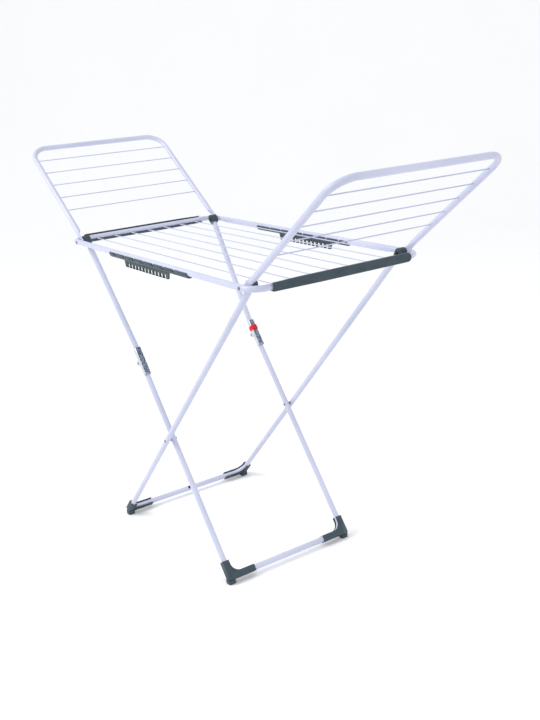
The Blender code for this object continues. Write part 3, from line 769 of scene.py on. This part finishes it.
def make_knee(side, word):
    place = knee_matrix(side)
    local = place.inverted() @ xz(KNEE, side * LEG_A_Y)
    outer = BRACKET_IN + BRACKET_T
    web_out = WEB_IN + BRACKET_T
    node = "knee_bracket_" + word
    flange = [(-BRACKET_HALF + 0.004, -0.0020), (-BRACKET_HALF, 0.0020), (-BRACKET_HALF, web_out),
              (BRACKET_HALF, web_out), (BRACKET_HALF, 0.0020), (BRACKET_HALF - 0.004, -0.0020),
              (0.0120, -0.0020)]
    flange += arc((local.x, local.y), 0.0075, 15, -195, 20) + [(-0.0098, -0.0020)]
    bracket = slab(node + "_plate", flange, outer, place)
    hollow = slab("hollow", [(-0.08, -0.05), (0.08, -0.05), (0.08, WEB_IN), (-0.08, WEB_IN)], BRACKET_IN, place)
    turn = place.to_3x3()
    bend = 0.0036
    fold = [(outer, -0.02), (outer, web_out - bend)] + arc((outer - bend, web_out - bend), bend, 0, 90, 8)
    fold += arc((bend - outer, web_out - bend), bend, 90, 180, 8) + [(-outer, web_out - bend), (-outer, -0.02)]
    folded = slab("folded", fold, 0.06, axes_matrix(place.translation, turn @ Vector((0, 0, 1)),
                                                    turn @ Vector((0, 1, 0))))
    cut(bracket, [hollow])
    cut(bracket, [folded], "INTERSECT")
    soften(bracket, 0.0004, 2, 50.0)
    # the web's faces take the dark zinc, painted shade standing for the dark reflection the web catches; the
    # flanges keep the light zinc
    face = place.to_3x3() @ Vector((0, 1, 0))
    for polygon in bracket.data.polygons:
        polygon.material_index = 1 if abs(polygon.normal.dot(face)) > 0.9 else 0
    mesh = bracket.data
    painted_shade_marks = [polygon.material_index for polygon in mesh.polygons]
    register(bracket, "leg_a_lower", [node], [ZINC, ZINC_DARK])
    for polygon, mark in zip(mesh.polygons, painted_shade_marks):
        polygon.material_index = mark
    pivot = place @ local
    reach = outer + 0.0009
    profile = [(0.0, 0.0008), (0.0002, 0.0024), (0.0006, 0.0036), (0.0009, 0.0040), (0.0010, 0.0024),
               (2 * reach - 0.0010, 0.0024), (2 * reach - 0.0009, 0.0040), (2 * reach - 0.0006, 0.0036),
               (2 * reach - 0.0002, 0.0024), (2 * reach, 0.0008)]
    rivet = turned("knee_rivet_" + word, pivot - ACROSS * reach, ACROSS, profile)
    register(rivet, "leg_a_lower", [], ZINC_DARK)


def make_leg_a():
    corner = corner_point(KNEE_AXIS, dir_low)
    up = -dir_low
    normal_low = Vector((dir_low.y, 0.0, -dir_low.x))
    normal_up = Vector((dir_up.y, 0.0, -dir_up.x))
    low_top = KNEE_AXIS + dir_low * 0.0095
    for sy, word in ((-1, "front"), (1, "back")):
        make_cap("leg_a_cap_" + word, PIN_A, dir_up, sy, "leg_a_upper")
        make_foot("leg_a_foot_" + word, corner, up, sy, LEG_A_Y, "leg_a_lower")
        make_knee(sy, word)

        # the lower frame is two bent tubes; the back one slides into the flared front one
        end_y = -0.007 if sy < 0 else -0.013
        path = rounded([xz(low_top, sy * LEG_A_Y), xz(corner, sy * LEG_A_Y), xz(corner, end_y)], LEG_BEND, 16)
        total = length_of(path)
        path = refine(path, [total - p for p in (0.0004, 0.0040, 0.0060, 0.0080, 0.0100, 0.0140, 0.0200,
                                                 0.0260)])

        def shape(s, sy=sy, total=total):
            left = total - s
            if sy > 0:
                step = min(1.0, max(0.0, (0.0085 - left) / 0.0025))
                radius = LEG_R - 0.0010 * step
            else:
                flare = min(1.0, max(0.0, (0.026 - left) / 0.008))
                radius = LEG_R + 0.0004 * flare - (0.0005 if left < 0.0003 else 0.0)
            return radius, radius, 0.0

        half = tube("leg_a_lower_tube_" + word, path, normal_low, shape)
        nodes = ["leg_a_lower_side_" + word] + (["leg_a_cross"] if sy < 0 else [])
        register(half, "leg_a_lower", nodes, WHITE)

        top = PIN_A + dir_up * TUBE_TOP
        straight = KNEE_AXIS - dir_up * 0.060
        points = [xz(top, sy * LEG_B_Y), xz(top + dir_up * 0.0140, sy * LEG_B_Y), xz(straight, sy * LEG_A_Y),
                  xz(KNEE_AXIS - dir_up * 0.0040, sy * LEG_A_Y)]
        upper = tube("leg_a_upper_tube_" + word, rounded(points, 0.12, 8), normal_up, plain(LEG_R))
        place = knee_matrix(sy)
        local = place.inverted() @ xz(KNEE, sy * LEG_A_Y)
        outline = [(-0.0200, -0.0072), (-0.0200, 0.0040), (-0.0045, 0.0040), (0.0030, -0.0050)]
        outline += arc((local.x, local.y), 0.0058, 30, -160, 16)
        lug = soften(slab("lug", outline, 0.0060, place), 0.0006, 2)
        register(join("leg_a_upper_piece_" + word, [upper, lug]), "leg_a_upper", ["leg_a_upper_" + word],
                 WHITE)


def make_clip():
    """The red sliding clip with its ribbed thumb face."""
    place = knee_matrix(1)
    side_in = BRACKET_IN + BRACKET_T + 0.0003
    side_out = side_in + 0.0010
    web_in = WEB_IN + BRACKET_T + 0.0003
    crown = web_in + 0.0030
    half = [(BRACKET_IN, -0.0044), (BRACKET_IN, -0.0024), (side_in, -0.0024), (side_in, web_in)]
    section = half + [(-x, y) for x, y in reversed(half)]
    section += [(-side_out, -0.0044), (-side_out, web_in - 0.0014), (-side_out + 0.0012, web_in + 0.0008),
                (-0.0085, crown), (0.0085, crown), (side_out - 0.0012, web_in + 0.0008),
                (side_out, web_in - 0.0014),
                (side_out, -0.0044)]
    turn = place.to_3x3()
    across, face = turn @ Vector((0, 0, 1)), turn @ Vector((0, 1, 0))
    centre = place @ Vector((-0.0180, 0.0, 0.0))
    clip = slab("lock_clip_body", section, 0.0074, axes_matrix(centre, across, face))
    soften(clip, 0.0005, 2, 40.0)
    ribs = [clip]
    for offset in (-0.0045, -0.0015, 0.0015, 0.0045):
        mid = place @ Vector((-0.0180 + offset, crown, 0.0))
        outline = [(-0.0078, -0.0006), (0.0078, -0.0006), (0.0070, 0.0006), (-0.0070, 0.0006)]
        rib = slab("rib", outline, 0.0006, axes_matrix(mid, across, face))
        ribs.append(soften(rib, 0.0003, 2))
    register(join("lock_clip_red", ribs), "lock_clip", ["lock_clip"], RED)


make_frame()
make_frame_wires()
make_pins()
make_rails()
make_covers()
make_wing(-1, "left")
make_wing(1, "right")
make_leg_b()
make_leg_a()
make_crossing()
make_clip()


# ---------------------------------------------------------------- stage, light and camera
def make_stage():
    """A white paper floor that curves up into the backdrop far behind the rack."""
    bm = bmesh.new()
    profile = [(-9.0, 0.0), (5.0, 0.0)]
    profile += [(5.0 + x, 4.0 + z) for x, z in arc((0.0, 0.0), 4.0, 270, 360, 16)[1:]] + [(9.0, 16.0)]
    away = Vector((-0.8286, 0.5598, 0.0))
    across = Vector((0.5598, 0.8286, 0.0))
    rows = [[bm.verts.new(away * d + across * w + Vector((0.0, 0.0, z))) for d,
             z in profile] for w in (-16.0, 16.0)]
    for i in range(len(profile) - 1):
        bm.faces.new((rows[0][i], rows[0][i + 1], rows[1][i + 1], rows[1][i]))
    floor = from_bmesh("studio_floor", bm, 60.0)
    mat, nodes, links, shader = new_material("studio_floor_paper")
    haze = noise(nodes, links, 1.2, 2.0)
    paper = ramp(nodes, links, haze.outputs["Fac"],
                 [(0.3, (0.955, 0.955, 0.955)), (0.7, (0.965, 0.965, 0.965))])
    links.new(paper.outputs["Color"], shader.inputs["Base Color"])
    shader.inputs["Roughness"].default_value = 0.9
    shader.inputs["Specular IOR Level"].default_value = 0.0
    floor.data.materials.append(mat)


def area_light(name, location, target, size, power, colour=(1.0, 1.0, 1.0)):
    data = bpy.data.lights.new(name, "AREA")
    data.shape = "DISK"
    data.size = size
    data.energy = power
    data.color = colour
    light = bpy.data.objects.new(name, data)
    light.location = location
    light.rotation_euler = (Vector(target) - Vector(location)).to_track_quat("-Z", "Y").to_euler()
    bpy.context.scene.collection.objects.link(light)


def make_light():
    world = bpy.data.worlds.new("studio")
    world.use_nodes = True
    background = world.node_tree.nodes["Background"]
    background.inputs["Color"].default_value = (0.97, 0.98, 1.0, 1.0)
    background.inputs["Strength"].default_value = 0.98
    bpy.context.scene.world = world
    bpy.context.scene.view_settings.view_transform = "Standard"
    area_light("key_softbox", (-1.6, -3.2, 3.6), (0.0, 0.0, 0.6), 2.6, 100.0)
    area_light("fill_softbox", (3.4, 1.6, 2.6), (0.0, 0.0, 0.6), 2.6, 12.0, (0.94, 0.96, 1.0))


def make_camera():
    data = bpy.data.cameras.new("camera")
    data.sensor_fit = "VERTICAL"
    data.sensor_height = 24.0
    data.lens = 31.02
    data.shift_x = -0.0301
    data.shift_y = 0.0389
    camera = bpy.data.objects.new("camera", data)
    right = Vector((0.57731, 0.81395, -0.06477)).normalized()
    forward = Vector((-0.78209, 0.52843, -0.33031)).normalized()
    up = right.cross(forward).normalized()
    back = -forward
    location = Vector((2.2554, -1.3429, 1.4010))
    rows = [(right[i], up[i], back[i], location[i]) for i in range(3)]
    camera.matrix_world = Matrix([*rows, (0.0, 0.0, 0.0, 1.0)])
    bpy.context.scene.collection.objects.link(camera)
    bpy.context.scene.camera = camera


make_stage()
make_light()
make_camera()
